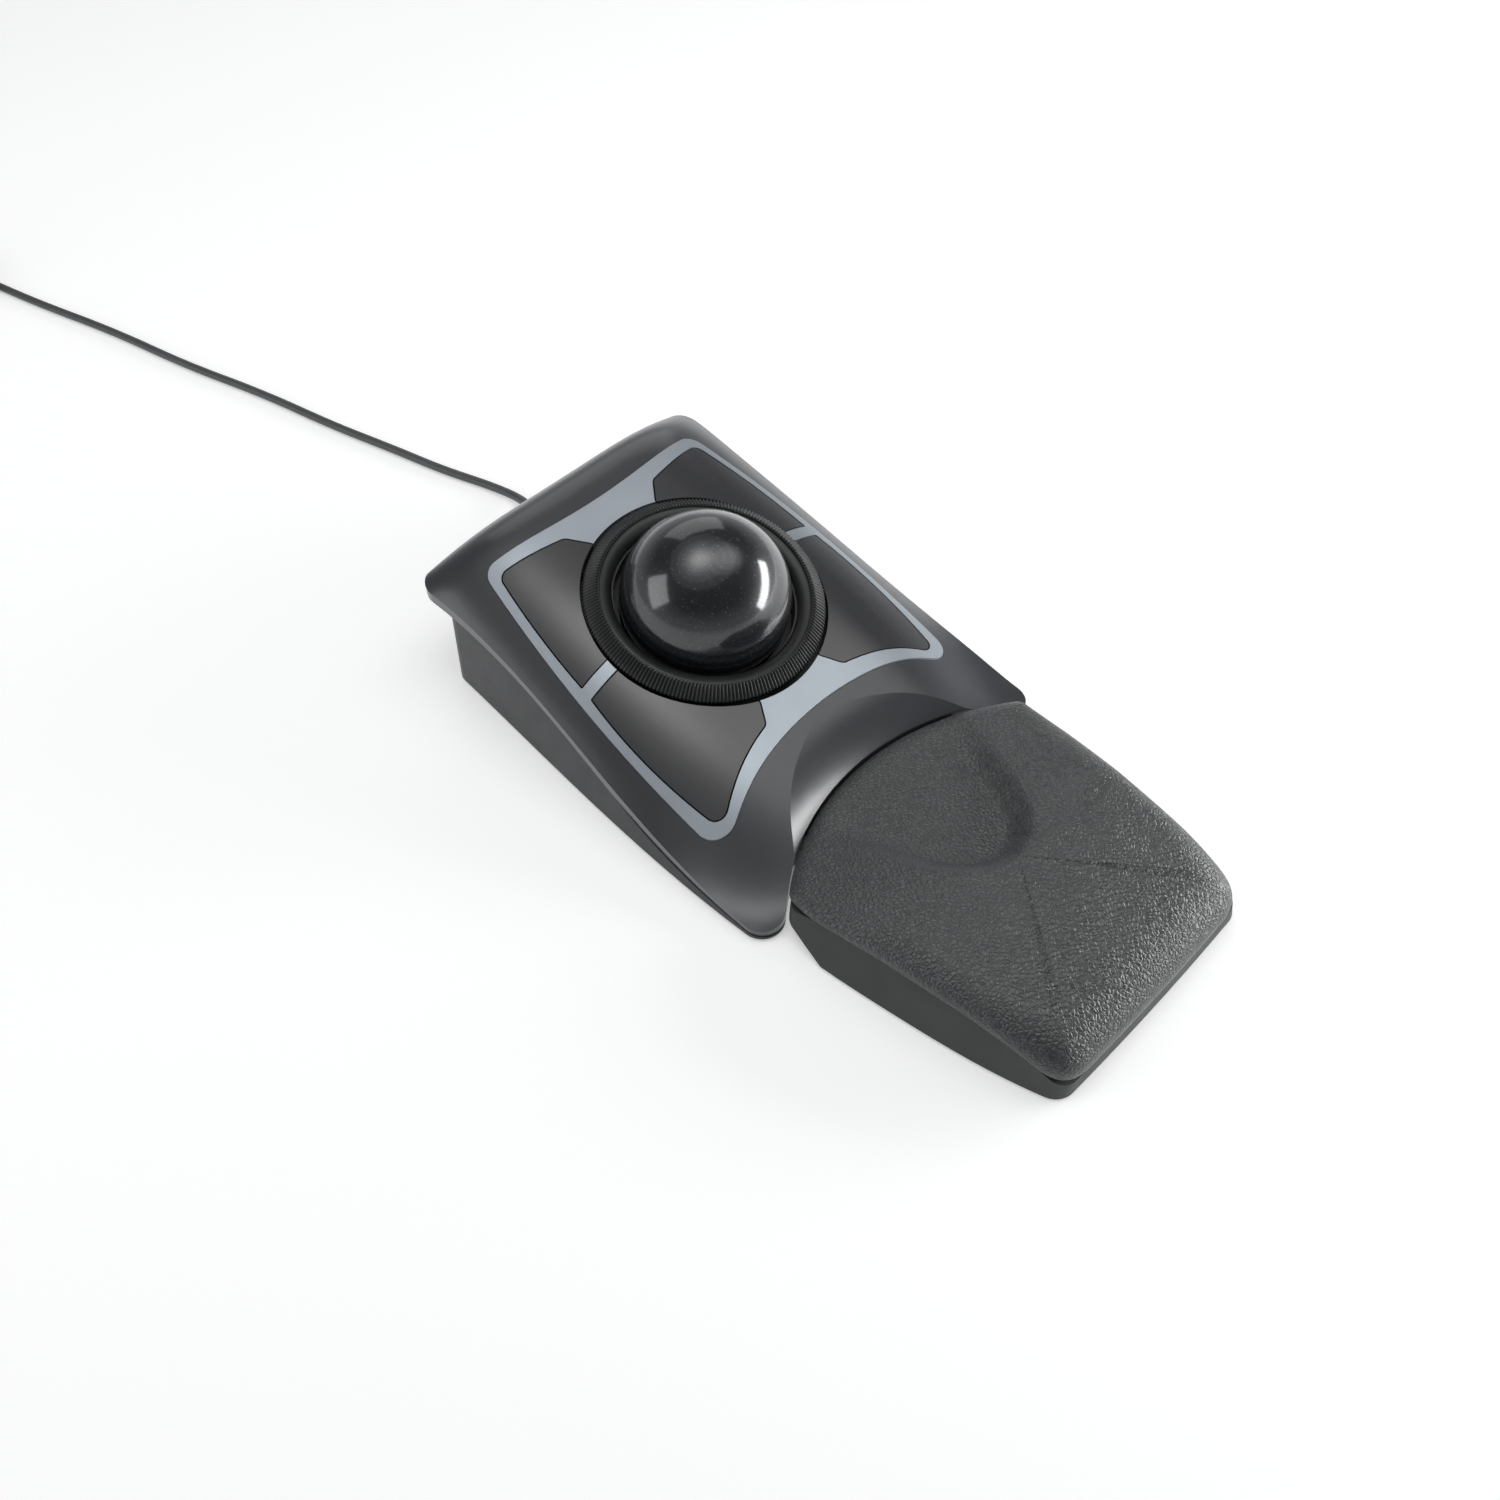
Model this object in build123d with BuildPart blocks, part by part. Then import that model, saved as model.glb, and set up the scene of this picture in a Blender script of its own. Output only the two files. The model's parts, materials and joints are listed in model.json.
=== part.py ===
"""Trackball mouse with a scroll ring, four buttons and a detachable wrist rest.

Millimetres, +Z up, +Y towards the cord, +X right, origin under the middle of the mouse on the table.
The top of the mouse is a gently crowned deck that slopes down to the user. Its tilted plane, deck,
carries the ring, the ball, the buttons and the inner chassis.
"""
from math import cos, pi, radians, sin, sqrt, tan
import os

from build123d import *

os.makedirs("parts", exist_ok=True)

# Driving dimensions of the mouse
ring_y = 54.0              # ball axis, from the origin
deck_z = 36.0              # deck height at the ball axis
deck_tilt = 12.9           # degrees, falling to the user
case_z = 1.0               # underside of both cases, held up by the feet
wall = 2.4
lip_z = 33.0               # top edge of the overhanging back lip
back_y = ring_y + 73.0
roll_y = ring_y + 53.0     # where the deck starts to roll down to the lip
front_arc_r = 84.0         # concave front edge
front_arc_y = ring_y - 151.5
lip_step = 12.5            # the lid overhangs the lower case by this much at the back

# Ball, ring and their supports, as radii and as heights w above the deck plane
ball_r = 27.5
ball_w = 0.9
ring_outer_r = 38.6
ring_hole_r = 39.4
hub_bore_r = 31.0
sleeve_clearance = 0.05
cup_inner_r = 28.6
cup_outer_r = 30.6
chassis_w = -12.0
chassis_t = 2.0
cup_flange_w = -10.0
carrier_flange_w = -8.0
flange_r = 39.8

# Buttons
button_gap = 0.5
button_t = 1.8
pivot_x = 42.0
pivot_w = -10.0
rod_r = 1.0
switch_x = 31.0
switch_v = 36.5

# Wrist rest
rest_gap = 0.5
rest_front_y = -127.0
hook_x = 24.0
hook_width = 8.0
hook_z = (4.2, 7.2)

# Cord
cord_r = 1.6
cord_z = 12.0

deck = Plane(origin=(0, ring_y, deck_z), x_dir=(1, 0, 0),
             z_dir=(0, -sin(radians(deck_tilt)), cos(radians(deck_tilt))))
deck_axis = Axis(deck.origin, deck.z_dir)
radial = Plane(origin=deck.origin, x_dir=(1, 0, 0), z_dir=-deck.y_dir)   # local x outward, local y = w
ball_centre = deck.from_local_coords((0, 0, ball_w))


def deck_height(x, y):
    """Height of the crowned top of the mouse above the table."""
    v = y - ring_y
    crowned = deck_z + 0.2294 * v - 0.0007 * v * v + 0.00063 * x * x - 1.25e-6 * x**4
    tip_height = 5.0
    height = (crowned + tip_height + sqrt((crowned - tip_height) ** 2 + 4)) / 2
    past_roll = (y - roll_y) / (back_y + 0.5 - roll_y)
    if past_roll > 0:
        height = lip_z + (height - lip_z) * sqrt(1 - min(past_roll, 1) ** 2)
    return height


def section_plane(y):
    return Plane(origin=(0, y, 0), x_dir=(1, 0, 0), z_dir=(0, -1, 0))


def deck_block():
    """Everything under the crowned deck, as one block wider and deeper than the mouse."""
    flat_steps = 12
    roll_steps = 4
    front = ring_y - 99
    stations = [front + (roll_y - front) * i / flat_steps for i in range(flat_steps + 1)]
    roll_length = back_y + 0.5 - roll_y
    stations += [roll_y + roll_length * sin(radians(84 * (i + 1) / roll_steps)) for i in range(roll_steps)]
    half_width = 72
    across = [half_width * (i / 4 - 1) for i in range(9)]
    with BuildPart() as block:
        for y in stations:
            with BuildSketch(section_plane(y)):
                with BuildLine():
                    crest = [(x, deck_height(x, y)) for x in across]
                    Spline(*crest)
                    Polyline(crest[-1], (half_width, -20), (-half_width, -20), crest[0])
                make_face()
        loft()
    return block.part


block_under_deck = deck_block()


def under_deck(rise):
    return block_under_deck.moved(Location((0, 0, rise)))


def under_split():
    """The space below the seam between the lid and the lower case."""
    with BuildPart() as tool:
        with BuildSketch(Plane.YZ):
            with BuildLine():
                seam = Spline((ring_y - 100, 1.0), (ring_y - 80, 2.2), (ring_y - 38, 7.6), (ring_y + 5, 20.5),
                              (ring_y + 45, 29.0), (ring_y + 90, 30.5))
                Polyline(seam @ 1, (ring_y + 90, -30), (ring_y - 100, -30), seam @ 0)
            make_face()
        extrude(amount=80, both=True)
    return tool.part


below_seam = under_split()


def body_outline(plane, sides, back, inset, corner, tip):
    """Plan of the mouse: straight back, long sides, concave front between two rounded tips.

    sides holds (half width, distance from the ring axis) from the back to the front."""
    front_r = front_arc_r + inset
    tip_x = sides[-1][0] - inset
    tip_y = front_arc_y + sqrt(front_r**2 - tip_x**2)
    side = [(half - inset, ring_y + v) for half, v in sides[1:-1]]
    start = (sides[0][0] - inset, back - inset)
    with BuildSketch(plane) as plan:
        with BuildLine():
            Line((-start[0], start[1]), start)
            Spline(start, *side, (tip_x, tip_y))
            ThreePointArc((tip_x, tip_y), (0, front_arc_y + front_r), (-tip_x, tip_y))
            Spline((-tip_x, tip_y), *[(-x, y) for x, y in reversed(side)], (-start[0], start[1]))
        make_face()
        ends = plan.vertices().sort_by(Axis.Y)
        fillet(ends[-2:], corner)
        ends = plan.vertices().filter_by(lambda p: p.Y < ring_y - 80 and abs(p.X) > 50)
        fillet(ends, tip)
    return plan.sketch


lid_sides = [(60.0, 73), (60.2, 10), (63.7, -40), (63.1, -80)]
floor_sides = [(59.6, 60), (63.3, 3), (65.2, -37), (63.4, -80)]
high_sides = [(59.0, 60), (57.6, 3), (58.5, -37), (56.5, -80)]


def lid_prism(inset, top):
    with BuildPart() as prism:
        plan = body_outline(Plane.XY, lid_sides, back_y, inset, 8 - inset, 7 - inset)
        add(plan)
        extrude(amount=top)
    return prism.part


def base_loft(inset, bottom):
    """Lower case: its walls lean in from the floor outline to a narrower one at the height of the lip."""
    with BuildPart() as shape:
        body_low = body_outline(Plane.XY.offset(bottom), floor_sides, back_y - lip_step, inset, 6, 7 - inset)
        body_high = body_outline(Plane.XY.offset(34), high_sides, back_y - lip_step, inset, 6, 7 - inset)
        add(body_low)
        add(body_high)
        loft()
    return shape.part


def front_roll(drop):
    """What is cut away above the roll that leads from the deck down to the concave front edge."""
    crest_r = front_arc_r + 17
    crest_z = deck_height(0, front_arc_y + crest_r)
    with BuildPart() as tool:
        with BuildSketch(Plane(origin=(0, front_arc_y, -drop), x_dir=(1, 0, 0), z_dir=(0, -1, 0))):
            with BuildLine():
                roll = TangentArc((crest_r, crest_z), (front_arc_r, 11.5), tangent=(-1, -0.29))
                Polyline(roll @ 1, (front_arc_r - 8, 11.5), (front_arc_r - 8, 40), (crest_r, 40), roll @ 0)
            make_face()
        revolve(axis=Axis((0, front_arc_y, 0), (0, 0, 1)))
    return tool.part


def lid_shape(inset, drop):
    with BuildPart() as shape:
        add(lid_prism(inset, 60))
        add(under_deck(-drop), mode=Mode.INTERSECT)
        add(front_roll(drop), mode=Mode.SUBTRACT)
        add(below_seam, mode=Mode.SUBTRACT)
    return shape.part


def write(piece, label):
    piece.part.label = label
    export_step(piece.part, f"parts/{label}.step")


def bezel_outline(plane, inset):
    """Silver frame in plan: bulging sides, slightly hollow back, deep concave front."""
    back_x = 45.8 - inset
    front_x = 53.6 - inset
    back = ring_y + 54.0 - inset
    front = ring_y - 63.0 + inset
    with BuildSketch(plane) as plan:
        with BuildLine():
            ThreePointArc((-back_x, back), (0, ring_y + 50 - inset), (back_x, back))
            side = ThreePointArc((back_x, back), (53.7 - inset, ring_y), (front_x + 1.2, front))
            ThreePointArc(side @ 1, (0, ring_y - 48.8 + inset), (-front_x - 1.2, front))
            ThreePointArc((-front_x - 1.2, front), (-53.7 + inset, ring_y), (-back_x, back))
        make_face()
        fillet(plan.vertices().sort_by(Axis.Y)[-2:], 5 - inset / 2)
        fillet(plan.vertices().sort_by(Axis.Y)[:2], 7 - inset / 2)
    return plan.sketch


def rear_button_outline(grow):
    """Right rear button in plan; grow widens it into its pocket."""
    with BuildSketch() as plan:
        with BuildLine():
            Polyline((14.1, ring_y + 30), (14.1, ring_y + 37), (19.7, ring_y + 44), (43.2, ring_y + 48.4))
            ThreePointArc((43.2, ring_y + 48.4), (47.3, ring_y + 27), (49.8, ring_y + 3.6))
            Polyline((49.8, ring_y + 3.6), (30, ring_y + 3.6), (14.1, ring_y + 30))
        make_face()
        fillet(plan.vertices().group_by(Axis.Y)[-1], 3)
        fillet(plan.vertices().filter_by(lambda p: p.X < 20 and p.Y > ring_y + 36), 3)
        offset(amount=grow)
    return plan.sketch


def front_button_outline(grow):
    """Right front button in plan; grow widens it into its pocket."""
    with BuildSketch() as plan:
        with BuildLine():
            Polyline((50.3, ring_y - 1.6), (30, ring_y - 1.6), (13.6, ring_y - 30), (13.6, ring_y - 37.2),
                     (17.8, ring_y - 43.8))
            ThreePointArc((17.8, ring_y - 43.8), (34, ring_y - 48.7), (49.4, ring_y - 56.8))
            ThreePointArc((49.4, ring_y - 56.8), (52.0, ring_y - 28), (50.3, ring_y - 1.6))
        make_face()
        fillet(plan.vertices().group_by(Axis.Y)[0], 3.5)
        fillet(plan.vertices().filter_by(lambda p: p.X < 18 and p.Y < ring_y - 36), 2.5)
        offset(amount=grow)
    return plan.sketch


def mirrored(plan):
    return mirror(plan, Plane.YZ, mode=Mode.PRIVATE)


def bezel_layer(inset, top_rise, bottom_rise):
    """Slice under the crowned deck, within the bezel's outline moved in by inset."""
    with BuildPart() as layer:
        add(bezel_outline(Plane.XY, inset))
        extrude(amount=60)
        if top_rise is not None:
            add(under_deck(top_rise), mode=Mode.INTERSECT)
        add(under_deck(bottom_rise), mode=Mode.SUBTRACT)
    return layer.part


def hanging_bosses(places, radius, bottom):
    """Screw bosses under the lid, square to the deck, merged into its wall."""
    with BuildPart() as bosses:
        with BuildSketch(deck.offset(bottom)):
            with Locations(*places):
                Circle(radius)
        extrude(amount=40)
        add(under_deck(-1.2), mode=Mode.INTERSECT)
    return bosses.part


def upright_bosses(places, radius, bottom):
    """Vertical screw bosses that the lid sends down to the seam."""
    with BuildPart() as bosses:
        with BuildSketch(Plane.XY.offset(bottom)):
            with Locations(*places):
                Circle(radius)
        extrude(amount=50)
        add(under_deck(-1.2), mode=Mode.INTERSECT)
        add(below_seam, mode=Mode.SUBTRACT)
    return bosses.part


def hook_slots():
    """Openings in the front wall for the hooks of the wrist rest."""
    with BuildPart() as slots:
        with BuildSketch(Plane.XY.offset(hook_z[0] - 0.4)):
            with Locations((-hook_x, ring_y - 72), (hook_x, ring_y - 72)):
                Rectangle(hook_width + 0.8, 14)
        extrude(amount=hook_z[1] - hook_z[0] + 0.8)
    return slots.part


# Lid of the case
chassis_bosses = [(-32, 55.5), (32, 55.5), (-36, -61), (36, -61)]
case_screws_at = [(-53, ring_y + 50), (53, ring_y + 50), (-57, ring_y - 50), (57, ring_y - 50)]
ledge = 2.2
with BuildPart() as top_case:
    add(lid_shape(0, 0))
    add(lid_shape(wall, wall), mode=Mode.SUBTRACT)
    add(hanging_bosses(chassis_bosses, 3.2, chassis_w))
    add(upright_bosses(case_screws_at, 3.4, 3))
    add(bezel_layer(0, None, -2.0), mode=Mode.SUBTRACT)
    add(bezel_layer(-1.2, -2.0, -2.0 - ledge))
    with BuildSketch() as deck_opening:
        add(bezel_outline(Plane.XY, 2.6))
    extrude(amount=60, mode=Mode.SUBTRACT)
    add(hook_slots(), mode=Mode.SUBTRACT)
    with BuildSketch(deck.offset(chassis_w)):
        with Locations(*chassis_bosses):
            Circle(1.1)
    extrude(amount=5, mode=Mode.SUBTRACT)
    with BuildSketch() as screw_cores:
        with Locations(*case_screws_at):
            Circle(1.1)
    extrude(amount=9, mode=Mode.SUBTRACT)
    with BuildSketch(Plane.XY.offset(20)):
        with Locations(*case_screws_at[:2]):
            Circle(1.1)
    extrude(amount=15, mode=Mode.SUBTRACT)
write(top_case, "top_case")

# Silver frame around the buttons
with BuildPart() as bezel:
    add(bezel_layer(0.1, 0.5, -2.0))
    with BuildSketch() as pockets:
        with Locations((0, ring_y)):
            Circle(ring_hole_r)
        for outline in (rear_button_outline(button_gap), front_button_outline(button_gap)):
            add(outline)
            add(mirrored(outline))
    extrude(amount=60, mode=Mode.SUBTRACT)
write(bezel, "bezel")


# Buttons: crowned caps that rock on a rod and press a switch near the ring
def lug_positions(is_rear):
    return (14, 38) if is_rear else (-12, -30)


def button(outline, is_rear):
    """A right-hand button. Lugs under the cap ride on the pivot rod, a nub reaches for the plunger."""
    lug_r = 1.7
    lug_width = 3.0
    switch_at = (switch_x, switch_v if is_rear else -switch_v)
    with BuildPart() as cap:
        add(outline)
        extrude(amount=60)
        with BuildSketch() as ring_clearance:
            with Locations((0, ring_y)):
                Circle(ring_hole_r)
        extrude(amount=60, mode=Mode.SUBTRACT)
        add(under_deck(0.4), mode=Mode.INTERSECT)
        add(under_deck(0.4 - button_t), mode=Mode.SUBTRACT)
    with BuildPart() as arms:
        for v in lug_positions(is_rear):
            with BuildSketch(Plane(origin=deck.from_local_coords((0, v + lug_width / 2, 0)), x_dir=(1, 0, 0),
                                   z_dir=-deck.y_dir)):
                with Locations((pivot_x, pivot_w)):
                    Circle(lug_r)
                with Locations((pivot_x, pivot_w / 2)):
                    Rectangle(2 * lug_r, -pivot_w)
                with Locations((pivot_x, pivot_w)):
                    Circle(rod_r + 0.04, mode=Mode.SUBTRACT)
            extrude(amount=lug_width)
        with BuildSketch(deck.offset(plunger_top_w + 0.02)):
            with Locations(switch_at):
                Circle(1.5)
        extrude(amount=8)
        add(under_deck(0.4 - button_t / 2), mode=Mode.INTERSECT)
    with BuildPart() as whole:
        add(cap.part)
        add(arms.part)
    return whole


switch_low_w = chassis_w
switch_height = 6.5
plunger_top_w = -4.5
for row, outline in (("rear", rear_button_outline(0)), ("front", front_button_outline(0))):
    right_button = button(outline, row == "rear")
    write(right_button, f"button_{row}_right")
    with BuildPart() as left_button:
        add(mirror(right_button.part, Plane.YZ, mode=Mode.PRIVATE))
    write(left_button, f"button_{row}_left")

# Microswitches under the buttons
for row, v in (("rear", switch_v), ("front", -switch_v)):
    for side, x in (("left", -switch_x), ("right", switch_x)):
        with BuildPart() as switch_body:
            with BuildSketch(deck.offset(switch_low_w)):
                with Locations((x, v)):
                    Rectangle(5.8, 12.8)
            extrude(amount=switch_height)
            with BuildSketch(deck.offset(switch_low_w + 3.5)):
                with Locations((x, v)):
                    Rectangle(2.2, 3.0)
            extrude(amount=10, mode=Mode.SUBTRACT)
        write(switch_body, f"switch_{row}_{side}")
        with BuildPart() as plunger:
            with BuildSketch(deck.offset(switch_low_w + 4.5)):
                with Locations((x, v)):
                    Rectangle(1.5, 2.9)
            extrude(amount=plunger_top_w - switch_low_w - 4.5)
        write(plunger, f"plunger_{row}_{side}")

# Pivot rods along both sides, each through the lugs of a rear and a front button
rod_ends = (-40, 46)
for side, x in (("left", -pivot_x), ("right", pivot_x)):
    with BuildPart() as rod:
        with BuildSketch(Plane(origin=deck.from_local_coords((x, rod_ends[1], pivot_w)), x_dir=(1, 0, 0),
                               z_dir=-deck.y_dir)):
            Circle(rod_r)
        extrude(amount=rod_ends[1] - rod_ends[0])
    write(rod, f"pivot_rod_{side}")

# Scroll ring: a sloping grip outside, a smooth lip inside, a hub and a slotted encoder skirt below
ring_low_w = -0.8
skirt_inner_r = 35.0
skirt_outer_r = 36.2
with BuildPart() as scroll_ring:
    with BuildSketch(radial):
        with BuildLine():
            Polyline((ring_outer_r, ring_low_w), (ring_outer_r, 0), (34.6, 3.3), (34.1, 3.3), (33.8, 2.8),
                     (33.4, 2.9))
            lip = ThreePointArc((33.4, 2.9), (31.4, 2.3), (29.9, 0.9))
            Polyline(lip @ 1, (29.9, -0.6), (32.2, -0.6), (32.2, -2.4), (hub_bore_r, -2.4), (hub_bore_r, -5.0),
                     (33.0, -5.0), (33.0, ring_low_w), (skirt_inner_r, ring_low_w), (skirt_inner_r, -6.0),
                     (skirt_outer_r, -6.0), (skirt_outer_r, ring_low_w), (ring_outer_r, ring_low_w))
        make_face()
    revolve(axis=deck_axis)
    with BuildSketch(deck.offset(-6.0)):
        with PolarLocations(skirt_inner_r + 0.6, 36):
            Rectangle(3, 2.6)
    extrude(amount=2.8, mode=Mode.SUBTRACT)
write(scroll_ring, "scroll_ring")

# Fixed carrier on which the ring turns, and the clip that keeps it there
clip_w = (-2.0, -1.5)
with BuildPart() as ring_carrier:
    with BuildSketch(radial):
        sleeve_r = hub_bore_r - sleeve_clearance
        with BuildLine():
            Polyline((29.3, cup_flange_w + 2), (29.3, -1.0), (sleeve_r, -1.0), (sleeve_r, clip_w[1]),
                     (30.3, clip_w[1]), (30.3, clip_w[0]), (sleeve_r, clip_w[0]), (sleeve_r, -5.3), (33.2, -5.3),
                     (33.2, carrier_flange_w + 1.5), (flange_r, carrier_flange_w + 1.5),
                     (flange_r, cup_flange_w + 2), (29.3, cup_flange_w + 2))
        make_face()
    revolve(axis=deck_axis)
    with BuildSketch(deck.offset(carrier_flange_w)):
        with PolarLocations(37.9, 3, start_angle=90):
            Circle(0.9)
    extrude(amount=3, mode=Mode.SUBTRACT)
write(ring_carrier, "ring_carrier")

with BuildPart() as ring_clip:
    with BuildSketch(deck.offset(clip_w[0])):
        Circle(31.8)
        Circle(30.3, mode=Mode.SUBTRACT)
        with Locations((0, -31)):
            Rectangle(6, 4, mode=Mode.SUBTRACT)
    extrude(amount=clip_w[1] - clip_w[0])
write(ring_clip, "ring_clip")

# Ball, in a cup where it rolls on three small bearings
with BuildPart() as ball:
    with Locations(ball_centre):
        Sphere(ball_r)
write(ball, "ball")


def ball_direction(azimuth, below):
    """Unit vector from the ball centre, below the deck plane by the angle below, in degrees."""
    flat = cos(radians(below))
    local = Vector(flat * cos(radians(azimuth)), flat * sin(radians(azimuth)), -sin(radians(below)))
    return (deck.from_local_coords(local) - deck.origin).normalized()


def ball_plane(direction, distance):
    return Plane(origin=ball_centre + direction * distance, z_dir=direction)


bearing_r = 1.5
bearing_distance = ball_r + 0.1 + bearing_r
bearing_directions = [ball_direction(azimuth, 45) for azimuth in (30, 150, 270)]
sensor_direction = ball_direction(90, 50)
with BuildPart() as ball_cup:
    with BuildSketch(radial):
        with Locations((0, ball_w)):
            Circle(cup_outer_r)
            Circle(cup_inner_r, mode=Mode.SUBTRACT)
        with Locations((20, -25)):
            Rectangle(40, 30, mode=Mode.INTERSECT)
        with Locations((27.0, cup_flange_w)):
            Rectangle(flange_r - 27.0, 2, align=(Align.MIN, Align.MIN))
    revolve(axis=deck_axis)
    for direction in bearing_directions:
        with BuildSketch(ball_plane(direction, 29.6)):
            Circle(3.2)
        extrude(amount=3.0)
    with BuildSketch(ball_plane(sensor_direction, 29.6)):
        Circle(6.5)
    extrude(amount=2.0)
    for direction in bearing_directions:
        with Locations(ball_centre + direction * bearing_distance):
            Sphere(bearing_r, mode=Mode.SUBTRACT)
    with BuildSketch(ball_plane(sensor_direction, 26)):
        Circle(3.4)
    extrude(amount=10, mode=Mode.SUBTRACT)
    with BuildSketch(deck.offset(cup_flange_w)):
        with PolarLocations(37.9, 3, start_angle=90):
            Circle(0.9)
    extrude(amount=3, mode=Mode.SUBTRACT)
write(ball_cup, "ball_cup")

for number, direction in enumerate(bearing_directions, start=1):
    with BuildPart() as bearing:
        with Locations(ball_centre + direction * bearing_distance):
            Sphere(bearing_r)
    write(bearing, f"ball_bearing_{number}")

# Optical sensor behind a window in the cup
with BuildPart() as sensor_lens:
    with BuildSketch(ball_plane(sensor_direction, 28.9)):
        Circle(3.4)
    extrude(amount=2.7)
    with BuildSketch(ball_plane(sensor_direction, 31.6)):
        Circle(5)
    extrude(amount=1.2)
write(sensor_lens, "sensor_lens")
with BuildPart() as ball_sensor:
    with BuildSketch(ball_plane(sensor_direction, 32.8)):
        RectangleRounded(10, 10, 0.5)
    extrude(amount=2.6)
write(ball_sensor, "ball_sensor")
with BuildPart() as sensor_board:
    with BuildSketch(ball_plane(sensor_direction, 35.4)):
        RectangleRounded(15, 15, 1)
    extrude(amount=1.2)
write(sensor_board, "sensor_board")

# Forked sensor astride the slotted skirt of the ring
with BuildPart() as ring_sensor:
    with BuildSketch(deck.offset(carrier_flange_w + 1.5)):
        with Locations((-35.7, 0)):
            Rectangle(4.6, 5)
    extrude(amount=4.0)
    with BuildSketch(deck.offset(carrier_flange_w + 2.0)):
        with Locations((-35.6, 0)):
            Rectangle(2.2, 6)
    extrude(amount=5, mode=Mode.SUBTRACT)
write(ring_sensor, "ring_sensor")

# Inner chassis: a plate under the deck that holds the cup, the carrier, the rods and the switches
post_spans = ((43, 46), (0.5, 3.5), (-40, -37))
with BuildPart() as chassis:
    with BuildSketch(deck.offset(chassis_w - chassis_t)):
        with Locations((0, -3)):
            RectangleRounded(90, 127, 6)
        with Locations((0, front_arc_y - ring_y - 4)):
            Circle(97.5, mode=Mode.SUBTRACT)
        Circle(29.2, mode=Mode.SUBTRACT)
    extrude(amount=chassis_t)
    with BuildSketch(deck.offset(chassis_w)):
        Circle(flange_r)
        Circle(35.0, mode=Mode.SUBTRACT)
    extrude(amount=cup_flange_w - chassis_w)
    for low_v, high_v in post_spans:
        with BuildSketch(Plane(origin=deck.from_local_coords((0, high_v, 0)), x_dir=(1, 0, 0), z_dir=-deck.y_dir)):
            with Locations((-pivot_x, chassis_w), (pivot_x, chassis_w)):
                Rectangle(3.6, 3.7, align=(Align.CENTER, Align.MIN))
            with Locations((-pivot_x, pivot_w), (pivot_x, pivot_w)):
                Circle(rod_r, mode=Mode.SUBTRACT)
        extrude(amount=high_v - low_v)
    with BuildSketch(deck.offset(chassis_w - chassis_t)):
        with Locations(*chassis_bosses):
            Circle(1.1)
    extrude(amount=chassis_t, mode=Mode.SUBTRACT)
    with BuildSketch(deck.offset(chassis_w)):
        with PolarLocations(37.9, 3, start_angle=90):
            Circle(0.9)
    extrude(amount=3, mode=Mode.SUBTRACT)
write(chassis, "chassis")


# Lower case
foot_r = 6.0
foot_z = 2.0
feet_at = [(-48, ring_y + 46), (48, ring_y + 46), (-53, ring_y - 67), (53, ring_y - 67)]
floor_z = case_z + 2.2
board_z = 6.0
board_screws_at = [(-32, ring_y + 23), (32, ring_y + 23), (0, ring_y + 51)]
base_back_y = back_y - lip_step
rear_head_z = 20.0
front_head_z = 2.4


def screw_heads(radius):
    """Counterbores of the case screws, deep at the back and shallow at the front."""
    with BuildPart() as bores:
        for places, top in ((case_screws_at[:2], rear_head_z), (case_screws_at[2:], front_head_z)):
            with BuildSketch():
                with Locations(*places):
                    Circle(radius)
            extrude(amount=top)
    return bores.part


with BuildPart() as bottom_case:
    add(base_loft(0, case_z))
    add(below_seam, mode=Mode.INTERSECT)
    add(base_loft(wall, floor_z), mode=Mode.SUBTRACT)
    with BuildSketch(Plane.XY.offset(floor_z - 0.5)):
        with Locations(*case_screws_at):
            Circle(3.4)
    extrude(amount=40)
    with BuildSketch(Plane.XY.offset(floor_z - 0.5)):
        with Locations(*board_screws_at):
            Circle(2.6)
    extrude(amount=board_z - floor_z + 0.5)
    add(below_seam, mode=Mode.INTERSECT)
    with BuildSketch():
        with Locations(*feet_at):
            Circle(foot_r)
    extrude(amount=foot_z, mode=Mode.SUBTRACT)
    add(screw_heads(2.8), mode=Mode.SUBTRACT)
    with BuildSketch():
        with Locations(*case_screws_at):
            Circle(1.1)
    extrude(amount=40, mode=Mode.SUBTRACT)
    with BuildSketch(Plane.XY.offset(floor_z)):
        with Locations(*board_screws_at):
            Circle(0.9)
    extrude(amount=4, mode=Mode.SUBTRACT)
    with BuildSketch(section_plane(base_back_y + 2)):
        with Locations((0, cord_z)):
            Circle(3.0)
    extrude(amount=6, mode=Mode.SUBTRACT)
    add(hook_slots(), mode=Mode.SUBTRACT)
write(bottom_case, "bottom_case")

with BuildPart() as rubber_feet:
    with BuildSketch():
        with Locations(*feet_at):
            Circle(foot_r)
    extrude(amount=foot_z)
    chamfer(rubber_feet.faces().sort_by(Axis.Z)[:4].edges(), 0.4)
write(rubber_feet, "rubber_feet")

# Main board with its controller and the header for the cord
board_back = ring_y + 55
board_front = ring_y + 18.5
with BuildPart() as main_board:
    with BuildSketch(Plane.XY.offset(board_z)):
        with Locations((0, (board_back + board_front) / 2)):
            RectangleRounded(74, board_back - board_front, 2)
        with Locations(*board_screws_at):
            Circle(0.9, mode=Mode.SUBTRACT)
    extrude(amount=1.6)
write(main_board, "main_board")
with BuildPart() as controller_chip:
    with BuildSketch(Plane.XY.offset(board_z + 1.6)):
        with Locations((-18, ring_y + 40)):
            Rectangle(10, 10)
    extrude(amount=1.4)
write(controller_chip, "controller_chip")
header_back = ring_y + 46
with BuildPart() as cord_header:
    with BuildSketch(Plane.XY.offset(board_z + 1.6)):
        with Locations((0, header_back)):
            Rectangle(10, 7, align=(Align.CENTER, Align.MAX))
    extrude(amount=7)
write(cord_header, "cord_header")

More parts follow.
